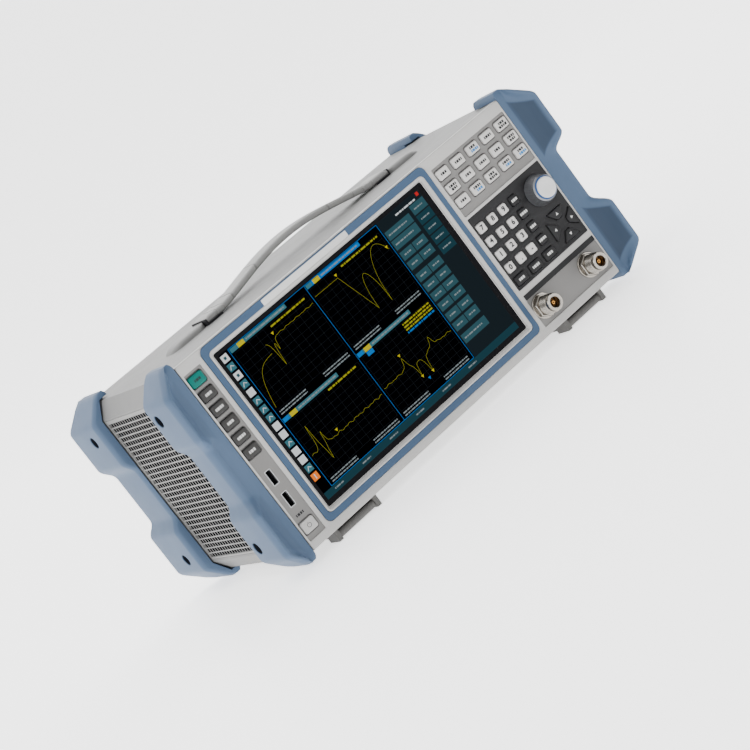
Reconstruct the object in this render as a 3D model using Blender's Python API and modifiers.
"""Bench vector network analyser, modelled as its separate pieces.

Sizes are in millimetres and measured from the front panel: x from the panel's left edge,
y backwards from the panel's face, z up from the panel's lower edge. `at` turns such a point
into metres in the object's own frame, whose origin is the centre of its footprint.
"""
import math

import bmesh
import bpy
from mathutils import Matrix, Vector

MM = 0.001

# Driving dimensions, in millimetres
PANEL_W = 355.0
PANEL_H = 170.5
PANEL_LIFT = 9.5
BODY_CENTRE_Y = 98.0
COVER_OUT = 16.0
COVER_FRONT = 12.3
COVER_REAR = 158.0
FRAME_REAR = 196.0
SHEET = 1.5
GAP = 0.3

# Corner bumpers: how far they stand out, where their ears, waist and tips lie, and their rim's shape
BUMPER_OUT = 26.5
WAIST_OUT = 20.3
TIP_OUT = 11.0
BUMPER_FRONT = -17.0
BUMPER_REAR = 215.5
WAIST_FRONT = -2.5
WAIST_REAR = 207.5
TIP_FRONT = -2.5
TIP_REAR = 199.0
FRONT_BUMPER_BACK = 36.0
REAR_BUMPER_LENGTH = 46.0
BUMPER_REACH = 6.0
EAR_LOW = 12.0
EAR_HIGH = 52.0
WAIST_LOW = 60.5
BUMPER_GAP = 0.4
FLANGE_W = 8.0
RIM_WIDE = 7.0
RIM_FLAT = 4.0
RIM_FALL = 5.0
RIM_BACK = 3.0
SCREW_HEIGHTS = (25.0, 145.0)
SCREW_DEPTHS = {-1: 21.5, 1: 172.0}
SCREW_WELL = (4.6, 10.0)

# Casing section: chamfered edges between the sides and the top or bottom, and the grilles' vents
CASING_TOP = 170.0
CASING_BOTTOM = 0.5
CHAMFER_OUT = 7.0
CHAMFER_HIGH = 157.0
CHAMFER_LOW = 13.5
SPLIT_HIGH = 155.4
SPLIT_LOW = 15.6
VENT_SIZE = (22.0, 8.6)
VENT_PITCH = (27.0, 16.6)
VENT_START = (44.0, 22.0)
VENT_COUNT = (4, 8)

# Rear tray with its mains inlet and exhaust slots
TRAY_LOW = 1.0
TRAY_HIGH = 169.5
TRAY_WALL = 3.0
INLET_SPAN = (54.6, 83.4, 24.6, 45.4)
INLET_WALL = 2.4
INLET_FRONT = 172.0
INLET_BACK = 199.0
SOCKET_DEPTH = 15.0
SLOT_COLUMNS = (222.0, 257.0)
SLOT_SIZE = (30.0, 5.0)
SLOT_START = 100.0
SLOT_PITCH = 9.0
SLOT_ROWS = 6

KEY_FRONT = -1.8
KEY_BACK = 6.0
KEY_FIT = 0.45
BEZEL_WALL = 3.0
BEZEL_DEPTH = 12.0
BEZEL_SIDE = 1.6
THROUGH = 1.0

# Key positions on the panel, as column and row centres
FUNCTION_COLUMNS = [276.8, 294.0, 311.2, 328.4, 345.6]
FUNCTION_ROWS = [153.4, 140.2, 127.0]
FUNCTION_SIZE = (12.2, 8.2)
NUMBER_COLUMNS = [275.6, 288.4, 301.2, 314.0]
NUMBER_ROWS = [100.7, 87.8, 74.9, 62.0]
NUMBER_SIZE = (8.0, 8.0)
EDIT_COLUMNS = [277.8, 294.9, 311.9]
EDIT_ROW = 49.4
EDIT_SIZE = (12.4, 8.0)
SYSTEM_X = 8.9
SYSTEM_ROWS = [140.6, 127.3, 114.0, 100.7, 87.4]
SYSTEM_SIZE = (13.2, 8.8)
PRESET_Z = 153.9
PRESET_SIZE = (13.4, 9.4)
POWER_Z = 17.3
POWER_SIZE = (12.6, 9.8)
ARROW_CENTRE = (338.2, 59.9)
ARROW_INNER = 5.4
ARROW_OUTER = 13.7
ARROW_NARROW = 2.4
ARROW_WIDE = 8.8
KNOB_CENTRE = (337.6, 93.5)
PORT_X = [279.5, 335.1]
PORT_Z = 21.0
USB_X = 8.8
USB_ROWS = [62.3, 42.0]
USB_OPENING = (4.8, 12.4)
GLASS = (30.9, 256.5, 16.5, 160.1)
SURROUND = (22.4, 264.9, 7.4, 169.6)
HANDLE_SPAN = (75.0, 280.0)
HANDLE_Y = (77.0, 105.0)
HANDLE_RISE = 12.0
HANDLE_THICK = 5.5
HANDLE_TONGUE = 18.0
HANDLE_BASE = 171.2
HANDLE_STEPS = 14
HANDLE_FULLNESS = 1.3
ANCHOR_LENGTH = 11.0
ANCHOR_TOP = 174.6
FOOT_W = 46.0
FOOT_X = [22.0, PANEL_W - 22.0 - FOOT_W]
FOOT_TOP = 0.2
EAR_W = 4.2
EAR_Y = (3.0, 20.0)
HINGE_Y = 7.0
HINGE_Z = -5.6
BARREL_R = 3.1
LEAF_END = 54.0
LEAF_LOW = -8.6
FAN_CENTRE = (2.5, 104.0, 80.0)
FAN_HALF = (12.5, 40.0, 40.0)
FAN_BLADES = 7


def at(x, y, z):
    """Panel millimetres to metres in the object's frame."""
    return Vector((x - PANEL_W / 2, y - BODY_CENTRE_Y, z + PANEL_LIFT)) * MM


def clear_scene():
    for item in list(bpy.data.objects):
        bpy.data.objects.remove(item)
    for group in list(bpy.data.collections):
        bpy.data.collections.remove(group)


def new_collection(name):
    group = bpy.data.collections.new(name)
    bpy.context.scene.collection.children.link(group)
    return group


def material(name, colour, roughness, metallic=0.0):
    made = bpy.data.materials.new(name)
    made.use_nodes = True
    shader = made.node_tree.nodes["Principled BSDF"]
    shader.inputs["Base Color"].default_value = (*colour, 1.0)
    shader.inputs["Roughness"].default_value = roughness
    shader.inputs["Metallic"].default_value = metallic
    made.diffuse_color = (*colour, 1.0)
    return made


def place(name, mesh, paint=None, group=None):
    """Give a mesh an object in the parts' collection, or in the one named."""
    item = bpy.data.objects.new(name, mesh)
    (group or PARTS).objects.link(item)
    if paint:
        mesh.materials.append(paint)
    return item


def set_origin(item, point):
    """Move an unrotated object's origin to a point and leave its shape where it is."""
    item.data.transform(Matrix.Translation(item.location - point))
    item.location = point


def bevel(item, width, segments=1):
    rounding = item.modifiers.new("rounding", "BEVEL")
    rounding.width = width * MM
    rounding.segments = segments
    rounding.limit_method = "ANGLE"
    rounding.angle_limit = math.radians(40)


def box(name, low, high, paint=None, group=None, rounding=0.0):
    """A block between two corners given in panel millimetres."""
    shape = bmesh.new()
    bmesh.ops.create_cube(shape, size=1.0)
    lower = at(*low)
    size = at(*high) - lower
    bmesh.ops.transform(shape, matrix=Matrix.Diagonal((*size, 1.0)), verts=shape.verts)
    mesh = bpy.data.meshes.new(name)
    shape.to_mesh(mesh)
    shape.free()
    item = place(name, mesh, paint, group)
    item.location = lower + size / 2
    if rounding:
        bevel(item, rounding)
    return item


def cylinder(name, centre, radius, length, axis, paint=None, group=None, sides=24):
    """A round bar whose middle is at centre, along the axis named X, Y or Z."""
    shape = bmesh.new()
    bmesh.ops.create_cone(shape, cap_ends=True, segments=sides, radius1=radius * MM,
                          radius2=radius * MM, depth=length * MM)
    turn = {"X": Matrix.Rotation(math.pi / 2, 4, "Y"), "Y": Matrix.Rotation(math.pi / 2, 4, "X"),
            "Z": Matrix.Identity(4)}[axis]
    bmesh.ops.transform(shape, matrix=turn, verts=shape.verts)
    mesh = bpy.data.meshes.new(name)
    shape.to_mesh(mesh)
    shape.free()
    item = place(name, mesh, paint, group)
    item.location = at(*centre)
    return item


def turned(name, profile, origin, paint, steps=24):
    """Turn a profile of (radius, distance forward of the panel face) about the Y axis."""
    shape = bmesh.new()
    points = [shape.verts.new((radius * MM, 0.0, ahead * MM)) for radius, ahead in profile]
    for first, second in zip(points, points[1:]):
        shape.edges.new((first, second))
    mesh = bpy.data.meshes.new(name)
    shape.to_mesh(mesh)
    shape.free()
    item = place(name, mesh, paint)
    screw = item.modifiers.new("turn", "SCREW")
    screw.steps = steps
    screw.render_steps = steps
    screw.use_merge_vertices = True
    screw.merge_threshold = 0.00005
    item.rotation_euler = (math.pi / 2, 0.0, 0.0)
    item.location = at(origin[0], 0.0, origin[1])
    return item


def outline_plate(name, outlines, front, back, paint=None, group=None):
    """A flat plate facing the front, from closed outlines of (x, z); inner outlines are holes."""
    curve = bpy.data.curves.new(name, "CURVE")
    curve.dimensions = "2D"
    curve.fill_mode = "BOTH"
    curve.extrude = (back - front) / 2 * MM
    for outline in outlines:
        spline = curve.splines.new("POLY")
        spline.points.add(len(outline) - 1)
        spline.use_cyclic_u = True
        for point, (x, z) in zip(spline.points, outline):
            spot = at(x, 0.0, z)
            point.co = (spot.x, spot.z, 0.0, 1.0)
    helper = place(name + "_outline", curve, group=group)
    helper.rotation_euler = (math.pi / 2, 0.0, 0.0)
    helper.location = (0.0, at(0.0, (front + back) / 2, 0.0).y, 0.0)
    bpy.context.view_layer.update()
    evaluated = helper.evaluated_get(bpy.context.evaluated_depsgraph_get())
    mesh = bpy.data.meshes.new_from_object(evaluated)
    mesh.name = name
    mesh.transform(helper.matrix_world)
    bpy.data.objects.remove(helper)
    shape = bmesh.new()
    shape.from_mesh(mesh)
    bmesh.ops.remove_doubles(shape, verts=shape.verts, dist=0.00001)
    bmesh.ops.recalc_face_normals(shape, faces=shape.faces)
    shape.to_mesh(mesh)
    shape.free()
    return place(name, mesh, paint, group)


def folded_sheet(name, profile, front, back, paint, thickness=SHEET):
    """Sheet metal folded to a profile of (x, z) and as long as the casing, thickened inwards."""
    shape = bmesh.new()
    near = [shape.verts.new(at(x, front, z)) for x, z in profile]
    far = [shape.verts.new(at(x, back, z)) for x, z in profile]
    for index in range(len(profile) - 1):
        shape.faces.new((near[index], near[index + 1], far[index + 1], far[index]))
    mesh = bpy.data.meshes.new(name)
    shape.to_mesh(mesh)
    shape.free()
    item = place(name, mesh, paint)
    shell = item.modifiers.new("thickness", "SOLIDIFY")
    shell.thickness = thickness * MM
    shell.offset = -1.0
    shell.use_even_offset = True
    return item


def rounded(left, right, low, high, radius, steps=3):
    """Outline of an upright rectangle with round corners, anticlockwise from the right."""
    corners = [(right - radius, high - radius), (left + radius, high - radius),
               (left + radius, low + radius), (right - radius, low + radius)]
    outline = []
    for quarter, (x, z) in enumerate(corners):
        for step in range(steps + 1):
            angle = math.pi / 2 * (quarter + step / steps)
            outline.append((x + radius * math.cos(angle), z + radius * math.sin(angle)))
    return outline


def join_bodies(name, items, group):
    """One helper object holding several blocks, for use as a single cutter or addition."""
    shape = bmesh.new()
    bpy.context.view_layer.update()
    for item in items:
        start = len(shape.verts)
        shape.from_mesh(item.data)
        shape.verts.ensure_lookup_table()
        bmesh.ops.transform(shape, matrix=item.matrix_world, verts=shape.verts[start:])
        bpy.data.objects.remove(item)
    mesh = bpy.data.meshes.new(name)
    shape.to_mesh(mesh)
    shape.free()
    return place(name, mesh, group=group)


def combine(item, other, operation="DIFFERENCE"):
    """Cut, add or keep the common part of another object, which becomes a hidden helper."""
    boolean = item.modifiers.new(operation.lower(), "BOOLEAN")
    boolean.operation = operation
    boolean.solver = "EXACT"
    boolean.object = other
    other.hide_render = True
    other.display_type = "WIRE"


def key_block(name, centre, size, paint=None, group=None, front=KEY_FRONT, back=KEY_BACK):
    """A key cap with a chamfered rim, or its opening when a group is given; origin at its centre."""
    x, z = centre
    width, height = size
    item = box(name, (x - width / 2, front, z - height / 2),
               (x + width / 2, back, z + height / 2), paint, group)
    if group is None:
        bevel(item, 0.6)
    return item


def key_holes():
    """Every key's centre and size, for the openings in the bezel."""
    holes = [((x, z), FUNCTION_SIZE) for z in FUNCTION_ROWS for x in FUNCTION_COLUMNS]
    holes += mat_keys()
    holes += [((SYSTEM_X, z), SYSTEM_SIZE) for z in SYSTEM_ROWS]
    holes.append(((SYSTEM_X, PRESET_Z), PRESET_SIZE))
    holes.append(((SYSTEM_X, POWER_Z), POWER_SIZE))
    return holes


def mat_keys():
    """The keys of the one-piece numeric keypad."""
    keys = [((x, z), NUMBER_SIZE) for z in NUMBER_ROWS for x in NUMBER_COLUMNS]
    keys += [((x, EDIT_ROW), EDIT_SIZE) for x in EDIT_COLUMNS]
    return keys


def arrow_outline(turns, grow=0.0):
    """Cap of one arrow key, wide outside and narrow inside; turns are quarter turns from up."""
    narrow = ARROW_NARROW + grow * 0.4
    wide = ARROW_WIDE + grow * 1.6
    base = [(-narrow, ARROW_INNER - grow), (narrow, ARROW_INNER - grow),
            (wide, ARROW_OUTER + grow), (-wide, ARROW_OUTER + grow)]
    return [arrow_turn(x, z, turns) for x, z in base]


def arrow_turn(x, z, turns):
    """A point beside the arrow pad's centre, turned with its key."""
    angle = turns * math.pi / 2
    cosine, sine = math.cos(angle), math.sin(angle)
    return (ARROW_CENTRE[0] + x * cosine - z * sine, ARROW_CENTRE[1] + x * sine + z * cosine)


def make_bezel():
    """Moulded front frame: a shallow tray with every opening of the front."""
    bezel = box("front_bezel", (0.0, 0.0, 0.0), (PANEL_W, BEZEL_DEPTH, PANEL_H), LIGHT_GREY)
    pocket = box("bezel_pocket", (BEZEL_SIDE, BEZEL_WALL, BEZEL_WALL),
                 (PANEL_W - BEZEL_SIDE, BEZEL_DEPTH + BEZEL_WALL, PANEL_H - BEZEL_WALL), group=CUTTERS)
    combine(bezel, pocket)
    front, back = -THROUGH, BEZEL_WALL + THROUGH
    holes = [key_block("hole", centre, (width + 2 * KEY_FIT, height + 2 * KEY_FIT), group=CUTTERS,
                       front=front, back=back)
             for centre, (width, height) in key_holes()]
    left, right, low, high = GLASS
    fit = 0.4
    holes.append(box("hole", (left - fit, front, low - fit), (right + fit, back, high + fit), group=CUTTERS))
    middle, depth = (front + back) / 2, back - front
    for x in PORT_X:
        holes.append(cylinder("hole", (x, middle, PORT_Z), 8.6, depth, "Y", group=CUTTERS, sides=16))
    for z in USB_ROWS:
        holes.append(box("hole", (USB_X - 2.6, front, z - 6.4), (USB_X + 2.6, back, z + 6.4), group=CUTTERS))
    holes.append(cylinder("hole", (KNOB_CENTRE[0], middle, KNOB_CENTRE[1]), 4.0, depth, "Y",
                          group=CUTTERS, sides=16))
    for turns in range(4):
        holes.append(outline_plate("hole", [arrow_outline(turns, KEY_FIT)], front, back, group=CUTTERS))
    combine(bezel, join_bodies("panel_openings", holes, CUTTERS))


def make_display():
    left, right, low, high = GLASS
    surround_cut = rounded(left - 3.6, right + 3.6, low - 3.6, high + 2.9, 3.0)
    outline_plate("screen_surround", [rounded(*SURROUND, 5.0), surround_cut], -1.6, -GAP, SCREEN_BLUE)
    box("display_glass", (left, 1.0, low), (right, 3.6, high), BLACK_GLASS)
    box("lcd_module", (left + 0.6, 3.9, low + 0.6), (right - 0.6, 11.0, high - 0.6), STEEL)


def make_keys():
    for row, z in enumerate(FUNCTION_ROWS):
        for column, x in enumerate(FUNCTION_COLUMNS):
            key_block(f"function_key_{row + 1}{column + 1}", (x, z), FUNCTION_SIZE, KEY_WHITE)
    for row, z in enumerate(SYSTEM_ROWS):
        key_block(f"system_key_{row + 1}", (SYSTEM_X, z), SYSTEM_SIZE, KEY_DARK)
    key_block("preset_key", (SYSTEM_X, PRESET_Z), PRESET_SIZE, KEY_TEAL)
    key_block("power_key", (SYSTEM_X, POWER_Z), POWER_SIZE, LIGHT_GREY)
    for turns, name in enumerate(("up", "left", "down", "right")):
        cap = outline_plate(f"arrow_key_{name}", [arrow_outline(turns)], KEY_FRONT, KEY_BACK, KEY_DARK)
        x, z = arrow_turn(0.0, (ARROW_INNER + ARROW_OUTER) / 2, turns)
        set_origin(cap, at(x, (KEY_FRONT + KEY_BACK) / 2, z))
        bevel(cap, 0.6)


def make_keymat():
    """Silicone keypad moulded in one piece: a thin mat with the raised number keys."""
    mat = box("number_keymat", (271.0, 4.2, 44.2), (320.6, 6.0, 106.0), KEY_WHITE)
    caps = [box("cap", (x - w / 2, KEY_FRONT, z - h / 2), (x + w / 2, 5.0, z + h / 2), group=CUTTERS)
            for (x, z), (w, h) in mat_keys()]
    combine(mat, join_bodies("keymat_caps", caps, CUTTERS), "UNION")


def make_knob():
    cylinder("encoder_shaft", (KNOB_CENTRE[0], 1.0, KNOB_CENTRE[1]), 3.0, 15.0, "Y", STEEL, sides=16)
    profile = [(0.0, 15.0), (9.0, 15.0), (10.0, 14.2), (11.2, 12.6), (12.8, 11.0), (14.4, 2.0),
               (14.4, 0.9), (3.2, 0.9), (3.2, 7.0), (0.0, 7.0)]
    turned("knob", profile, KNOB_CENTRE, SILVER, steps=24)


def make_ports():
    """Coaxial N sockets: threaded nose, hexagon collar and centre contact, bored from the front."""
    profile = [(0.0, 16.5), (1.6, 16.5), (1.6, 11.0), (4.3, 11.0), (4.3, 19.0), (4.8, 19.5), (7.4, 19.5),
               (7.9, 19.0), (7.9, 8.0), (8.3, 8.0), (8.3, -13.5), (0.0, -13.5)]
    for number, x in enumerate(PORT_X, start=1):
        turned(f"rf_port_{number}", profile, (x, PORT_Z), NICKEL, steps=24)


def make_usb():
    shell = box("usb_sockets", (USB_X - 3.6, BEZEL_WALL + GAP, USB_ROWS[1] - 8.0),
                (USB_X + 3.6, 19.0, USB_ROWS[0] + 8.0), STEEL)
    width, height = USB_OPENING
    slots = [box("slot", (USB_X - width / 2, 2.0, z - height / 2), (USB_X + width / 2, 17.0, z + height / 2),
                 group=CUTTERS) for z in USB_ROWS]
    combine(shell, join_bodies("usb_slots", slots, CUTTERS))


def casing_section(grow=0.0):
    """Outline of the wide casing, across the object, with its chamfered edges."""
    out = COVER_OUT + grow
    edge = CHAMFER_OUT + grow
    top, bottom = CASING_TOP + grow, CASING_BOTTOM - grow
    return [(PANEL_W + out, CHAMFER_LOW), (PANEL_W + out, CHAMFER_HIGH), (PANEL_W + edge, top), (-edge, top),
            (-out, CHAMFER_HIGH), (-out, CHAMFER_LOW), (-edge, bottom), (PANEL_W + edge, bottom)]


def make_casing():
    """Folded top and bottom covers, with a separate perforated grille on each side."""
    out = COVER_OUT
    corners = casing_section()
    top = [(-out, SPLIT_HIGH), corners[4], corners[3], corners[2], corners[1], (PANEL_W + out, SPLIT_HIGH)]
    bottom = [(PANEL_W + out, SPLIT_LOW), corners[0], corners[7], corners[6], corners[5], (-out, SPLIT_LOW)]
    folded_sheet("top_cover", top, COVER_FRONT, COVER_REAR, CASING_GREY)
    folded_sheet("bottom_cover", bottom, COVER_FRONT, COVER_REAR, CASING_GREY)
    for side, inner in (("left", -out), ("right", PANEL_W + out - SHEET)):
        grille = box(f"side_grille_{side}", (inner, COVER_FRONT, SPLIT_LOW + GAP),
                     (inner + SHEET, COVER_REAR, SPLIT_HIGH - GAP), CASING_GREY)
        vents = []
        for column in range(VENT_COUNT[0]):
            for row in range(VENT_COUNT[1]):
                start = VENT_START[0] + VENT_PITCH[0] * column
                low = VENT_START[1] + VENT_PITCH[1] * row
                vents.append(box("vent", (inner - THROUGH, start, low),
                                 (inner + SHEET + THROUGH, start + VENT_SIZE[0], low + VENT_SIZE[1]),
                                 group=CUTTERS))
        combine(grille, join_bodies(f"vents_{side}", vents, CUTTERS))


def make_rear():
    """Cast rear tray: four walls and the back, with exhaust slots and the inlet's cut-out."""
    front = COVER_REAR + GAP
    tray = box("rear_frame", (GAP, front, TRAY_LOW), (PANEL_W - GAP, FRAME_REAR, TRAY_HIGH), CASING_GREY)
    pocket = box("tray_pocket", (TRAY_WALL, front - TRAY_WALL, TRAY_LOW + TRAY_WALL),
                 (PANEL_W - TRAY_WALL, FRAME_REAR - TRAY_WALL, TRAY_HIGH - TRAY_WALL), group=CUTTERS)
    combine(tray, pocket)
    inner, outer = FRAME_REAR - 2 * TRAY_WALL, FRAME_REAR + TRAY_WALL
    left, right, low, high = INLET_SPAN
    fit = 0.6
    openings = [box("opening", (left - fit, inner, low - fit), (right + fit, outer, high + fit),
                    group=CUTTERS)]
    for start in SLOT_COLUMNS:
        for row in range(SLOT_ROWS):
            base = SLOT_START + SLOT_PITCH * row
            openings.append(box("opening", (start, inner, base),
                                (start + SLOT_SIZE[0], outer, base + SLOT_SIZE[1]), group=CUTTERS))
    combine(tray, join_bodies("tray_openings", openings, CUTTERS))
    inlet = box("power_inlet", (left, INLET_FRONT, low), (right, INLET_BACK, high), KEY_DARK)
    socket = box("inlet_socket", (left + INLET_WALL, INLET_BACK - SOCKET_DEPTH, low + INLET_WALL),
                 (right - INLET_WALL, INLET_BACK + THROUGH, high - INLET_WALL), group=CUTTERS)
    combine(inlet, socket)


def bumper_rings(ear_front, waist_front, tip_front, rear):
    """Heights with rings of (outward, backward) points, from the lower tip to the upper one."""
    def ring(out, front):
        return [(BUMPER_GAP, -GAP), (min(FLANGE_W, out - RIM_BACK), -GAP), (out - RIM_WIDE, front + RIM_BACK),
                (out - RIM_FLAT, front), (out, front + RIM_FALL), (out, rear - RIM_FLAT),
                (out - RIM_BACK, rear), (BUMPER_GAP, rear)]
    ear = ring(BUMPER_OUT, ear_front)
    waist = ring(WAIST_OUT, waist_front)
    tip = ring(TIP_OUT, tip_front)
    lower_half = [(-BUMPER_REACH, tip), (EAR_LOW, ear), (EAR_HIGH, ear), (WAIST_LOW, waist)]
    upper_half = [(PANEL_H - height, points) for height, points in reversed(lower_half)]
    return lower_half + upper_half


def make_bumper(name, side, end):
    """Corner guard around one upright edge: side -1 left or 1 right, end -1 front or 1 rear."""
    if end < 0:
        rings = bumper_rings(BUMPER_FRONT, WAIST_FRONT, TIP_FRONT, FRONT_BUMPER_BACK)
        front, back, clearance = COVER_FRONT - GAP, FRONT_BUMPER_BACK + 24.0, 0.6
    else:
        rings = bumper_rings(FRAME_REAR - BUMPER_REAR, FRAME_REAR - WAIST_REAR, FRAME_REAR - TIP_REAR,
                             REAR_BUMPER_LENGTH)
        front, back, clearance = COVER_REAR - 38.0, COVER_REAR + 7.0, 1.6
    shape = bmesh.new()
    loops = []
    for height, points in rings:
        loop = []
        for outward, backward in points:
            x = PANEL_W + outward if side > 0 else -outward
            y = backward if end < 0 else FRAME_REAR - backward
            loop.append(shape.verts.new(at(x, y, height)))
        loops.append(loop)
    for lower, upper in zip(loops, loops[1:]):
        for index in range(len(lower)):
            after = (index + 1) % len(lower)
            shape.faces.new((lower[index], lower[after], upper[after], upper[index]))
    shape.faces.new(loops[0])
    shape.faces.new(loops[-1])
    bmesh.ops.recalc_face_normals(shape, faces=shape.faces)
    mesh = bpy.data.meshes.new(name)
    shape.to_mesh(mesh)
    shape.free()
    guard = place(name, mesh, BUMPER_BLUE)
    combine(guard, outline_plate(f"{name}_cavity", [casing_section(clearance)], front, back, group=CUTTERS))
    x = PANEL_W + BUMPER_OUT if side > 0 else -BUMPER_OUT
    radius, length = SCREW_WELL
    for height in SCREW_HEIGHTS:
        well = cylinder(f"{name}_screw_well", (x, SCREW_DEPTHS[end], height), radius, length, "X",
                        group=CUTTERS, sides=16)
        combine(guard, well)


def make_handle():
    """Strap handle: a low arch between two tongues that lie in the anchors on the top cover."""
    left, right = HANDLE_SPAN
    lower = [(left, HANDLE_BASE)]
    for step in range(HANDLE_STEPS + 1):
        part = step / HANDLE_STEPS
        x = left + HANDLE_TONGUE + (right - left - 2 * HANDLE_TONGUE) * part
        lower.append((x, HANDLE_BASE + HANDLE_RISE * math.sin(math.pi * part) ** HANDLE_FULLNESS))
    lower.append((right, HANDLE_BASE))
    upper = [(x, z + HANDLE_THICK * (0.7 if x in (left, right) else 1.0)) for x, z in reversed(lower)]
    strap = outline_plate("carry_handle", [lower + upper], HANDLE_Y[0], HANDLE_Y[1], CASING_GREY)
    bevel(strap, 1.0)
    for name, low in (("left", left - THROUGH - ANCHOR_LENGTH), ("right", right + THROUGH)):
        box(f"handle_anchor_{name}", (low, HANDLE_Y[0] - 3.0, CASING_TOP + GAP),
            (low + ANCHOR_LENGTH, HANDLE_Y[1] + 3.0, ANCHOR_TOP), LIGHT_GREY, rounding=1.0)


def make_feet():
    """Front feet with a fold-out flap between two ears, and plain rear feet."""
    for name, x in zip(("left", "right"), FOOT_X):
        end = x + FOOT_W
        base = box(f"front_foot_{name}", (x, 13.0, -5.2), (end, 58.0, FOOT_TOP), FOOT_DARK)
        ears = [box("ear", (start, EAR_Y[0], -PANEL_LIFT), (start + EAR_W, EAR_Y[1], -GAP), group=CUTTERS)
                for start in (x, end - EAR_W)]
        combine(base, join_bodies(f"foot_ears_{name}", ears, CUTTERS), "UNION")
        flap = cylinder(f"foot_flap_{name}", (x + FOOT_W / 2, HINGE_Y, HINGE_Z), BARREL_R, FOOT_W - 9.0, "X",
                        RUBBER_GREY, sides=16)
        leaf = box(f"foot_leaf_{name}", (x + 5.0, HINGE_Y, LEAF_LOW), (end - 5.0, LEAF_END, HINGE_Z),
                   group=CUTTERS)
        combine(flap, leaf, "UNION")
        foot = box(f"rear_foot_{name}", (x, 138.0, -PANEL_LIFT), (end, 154.0, FOOT_TOP), FOOT_DARK)
        bevel(foot, 1.5)


def make_inside():
    """Circuit board, radio module, power supply and the fan behind the left grille."""
    box("main_board", (20.0, 44.0, 14.0), (258.0, 45.6, 150.0), BOARD_GREEN)
    box("rf_module", (264.0, 14.0, 8.0), (351.0, 40.0, 42.0), STEEL)
    box("power_supply", (262.0, 64.0, 8.0), (352.0, 150.0, 58.0), STEEL)
    low = [middle - half for middle, half in zip(FAN_CENTRE, FAN_HALF)]
    high = [middle + half for middle, half in zip(FAN_CENTRE, FAN_HALF)]
    frame = box("fan_frame", low, high, KEY_DARK)
    duct = cylinder("fan_duct", FAN_CENTRE, FAN_HALF[1] - 2.5, 40.0, "X", group=CUTTERS, sides=32)
    combine(frame, duct)
    combine(frame, box("fan_strut", (11.0, 100.0, 41.0), (14.0, 108.0, 119.0), group=CUTTERS), "UNION")
    rotor = cylinder("fan_rotor", FAN_CENTRE, 15.0, 15.0, "X", KEY_DARK, sides=20)
    blades = []
    for index in range(FAN_BLADES):
        blade = box("blade", (-3.0, 103.2, 92.0), (8.0, 104.8, 115.5), group=CUTTERS)
        turn = Matrix.Rotation(2 * math.pi * index / FAN_BLADES, 4, "X")
        pitch = Matrix.Rotation(math.radians(32), 4, "Z")
        lift = Matrix.Translation(blade.location - at(*FAN_CENTRE))
        blade.data.transform(turn @ lift @ pitch)
        blade.location = at(*FAN_CENTRE)
        blades.append(blade)
    combine(rotor, join_bodies("fan_blades", blades, CUTTERS), "UNION")


clear_scene()
PARTS = new_collection("vector_network_analyzer")
CUTTERS = new_collection("cutters")

LIGHT_GREY = material("light_grey_plastic", (0.64, 0.635, 0.62), 0.45)
CASING_GREY = material("casing_paint", (0.50, 0.50, 0.495), 0.5)
SCREEN_BLUE = material("screen_surround_blue", (0.16, 0.25, 0.37), 0.4)
BUMPER_BLUE = material("bumper_blue", (0.25, 0.36, 0.50), 0.55)
BLACK_GLASS = material("black_glass", (0.01, 0.01, 0.012), 0.08)
KEY_WHITE = material("key_white", (0.72, 0.71, 0.69), 0.5)
KEY_DARK = material("key_dark", (0.07, 0.07, 0.07), 0.5)
KEY_TEAL = material("key_teal", (0.0, 0.32, 0.29), 0.5)
SILVER = material("knob_silver", (0.5, 0.5, 0.5), 0.35, 0.8)
NICKEL = material("nickel", (0.62, 0.60, 0.56), 0.25, 1.0)
STEEL = material("zinc_steel", (0.45, 0.46, 0.47), 0.4, 0.9)
FOOT_DARK = material("foot_plastic", (0.12, 0.12, 0.12), 0.6)
RUBBER_GREY = material("foot_rubber", (0.4, 0.4, 0.4), 0.8)
BOARD_GREEN = material("circuit_board", (0.03, 0.16, 0.07), 0.45)

make_bezel()
make_display()
make_keys()
make_keymat()
make_knob()
make_ports()
make_usb()
make_casing()
make_rear()
for side_name, side_sign in (("left", -1), ("right", 1)):
    make_bumper(f"front_bumper_{side_name}", side_sign, -1)
    make_bumper(f"rear_bumper_{side_name}", side_sign, 1)
make_handle()
make_feet()
make_inside()
